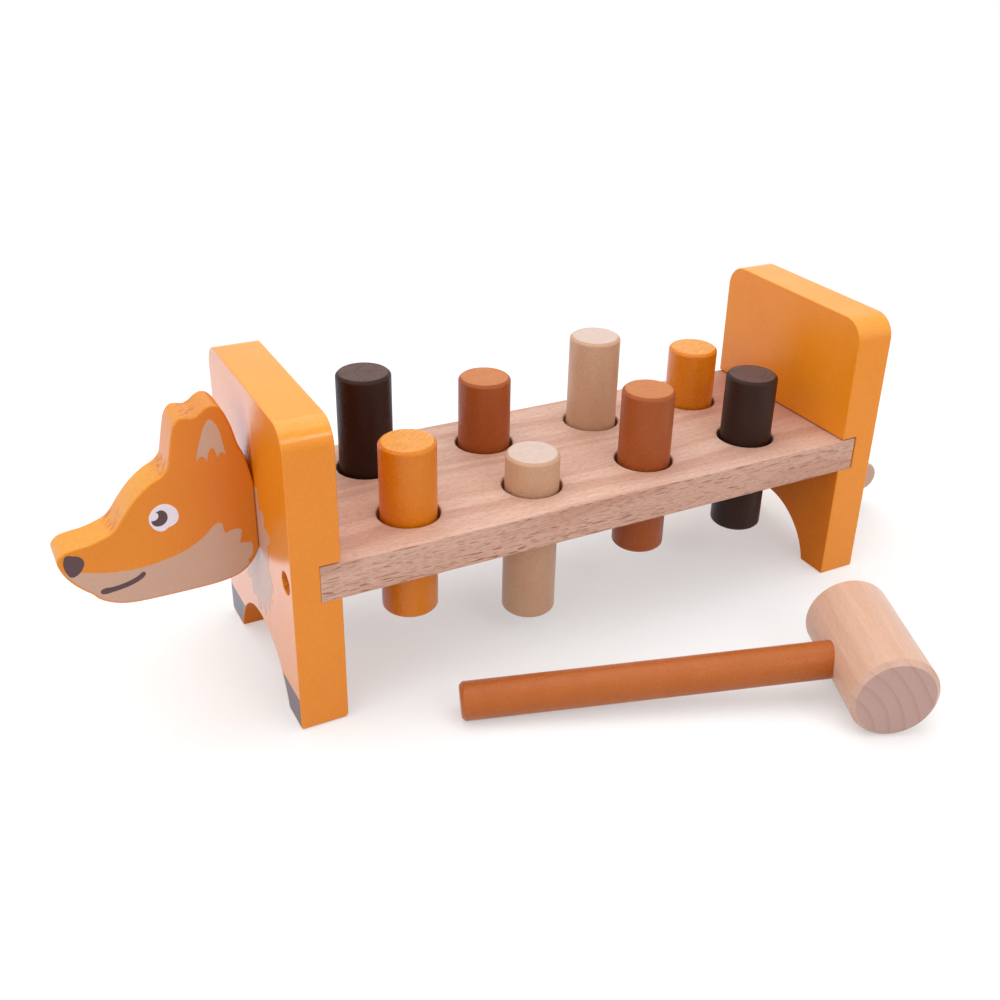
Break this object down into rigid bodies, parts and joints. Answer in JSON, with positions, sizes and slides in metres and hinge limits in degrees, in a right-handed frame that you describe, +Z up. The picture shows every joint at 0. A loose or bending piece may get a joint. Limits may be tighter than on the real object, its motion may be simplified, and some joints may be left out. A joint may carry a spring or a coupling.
{
  "type": "peg pounding bench",
  "caption": "Wooden pounding bench on two arched end boards, with a fox's head and tail, pegs that slide through the plank against rubber rings, and a mallet.",
  "frame": {"origin": "on the floor, under the middle of the bench between its two end boards", "axes": "+X along the bench from the fox's head to its tail, +Y across the bench away from the mallet, +Z up"},
  "size_m": [0.3937, 0.2019, 0.1255],
  "materials": {
    "beech": "sanded beech under a thin matt varnish, fine flecks",
    "pale_wood": "sanded pale hardwood, unpainted, matt",
    "orange_lacquer": "semi-gloss orange lacquer on wood",
    "cream_paint": "satin cream paint on wood",
    "rust_paint": "satin rust-brown paint on wood",
    "dark_brown_paint": "satin dark brown paint on wood",
    "grip_rubber": "matt black rubber",
    "zinc_steel": "zinc-plated steel"
  },
  "bodies": {
    "bench": {"bench_plank": "beech", "head_end_board": "orange_lacquer", "tail_end_board": "orange_lacquer", "fox_head": "orange_lacquer", "fox_tail": "orange_lacquer", "grip_ring_front_1": "grip_rubber", "grip_ring_front_2": "grip_rubber", "grip_ring_front_3": "grip_rubber", "grip_ring_front_4": "grip_rubber", "grip_ring_back_1": "grip_rubber", "grip_ring_back_2": "grip_rubber", "grip_ring_back_3": "grip_rubber", "grip_ring_back_4": "grip_rubber", "board_screws": "zinc_steel", "head_dowels": "beech", "tail_dowels": "beech"},
    "front_peg_1": {"peg_front_1": "orange_lacquer"},
    "front_peg_2": {"peg_front_2": "cream_paint"},
    "front_peg_3": {"peg_front_3": "rust_paint"},
    "front_peg_4": {"peg_front_4": "dark_brown_paint"},
    "back_peg_1": {"peg_back_1": "dark_brown_paint"},
    "back_peg_2": {"peg_back_2": "rust_paint"},
    "back_peg_3": {"peg_back_3": "cream_paint"},
    "back_peg_4": {"peg_back_4": "orange_lacquer"},
    "mallet": {"mallet_head": "pale_wood", "mallet_handle": "rust_paint"}
  },
  "joints": [
    {"name": "front_peg_1_slide", "type": "slide", "parent": "bench", "child": "front_peg_1", "axis": [0, 0, 1], "range_m": [-0.02677, 0.02422]},
    {"name": "front_peg_2_slide", "type": "slide", "parent": "bench", "child": "front_peg_2", "axis": [0, 0, 1], "range_m": [-0.01035, 0.04064]},
    {"name": "front_peg_3_slide", "type": "slide", "parent": "bench", "child": "front_peg_3", "axis": [0, 0, 1], "range_m": [-0.0283, 0.02269]},
    {"name": "front_peg_4_slide", "type": "slide", "parent": "bench", "child": "front_peg_4", "axis": [0, 0, 1], "range_m": [-0.02575, 0.02524]},
    {"name": "back_peg_1_slide", "type": "slide", "parent": "bench", "child": "back_peg_1", "axis": [0, 0, 1], "range_m": [-0.03789, 0.0131]},
    {"name": "back_peg_2_slide", "type": "slide", "parent": "bench", "child": "back_peg_2", "axis": [0, 0, 1], "range_m": [-0.02652, 0.02448]},
    {"name": "back_peg_3_slide", "type": "slide", "parent": "bench", "child": "back_peg_3", "axis": [0, 0, 1], "range_m": [-0.03661, 0.01438]},
    {"name": "back_peg_4_slide", "type": "slide", "parent": "bench", "child": "back_peg_4", "axis": [0, 0, 1], "range_m": [-0.02269, 0.0283]},
    {"name": "mallet_lift", "type": "slide", "parent": "bench", "child": "mallet", "axis": [0, 0, 1], "range_m": [0, 0.12]}
  ]
}
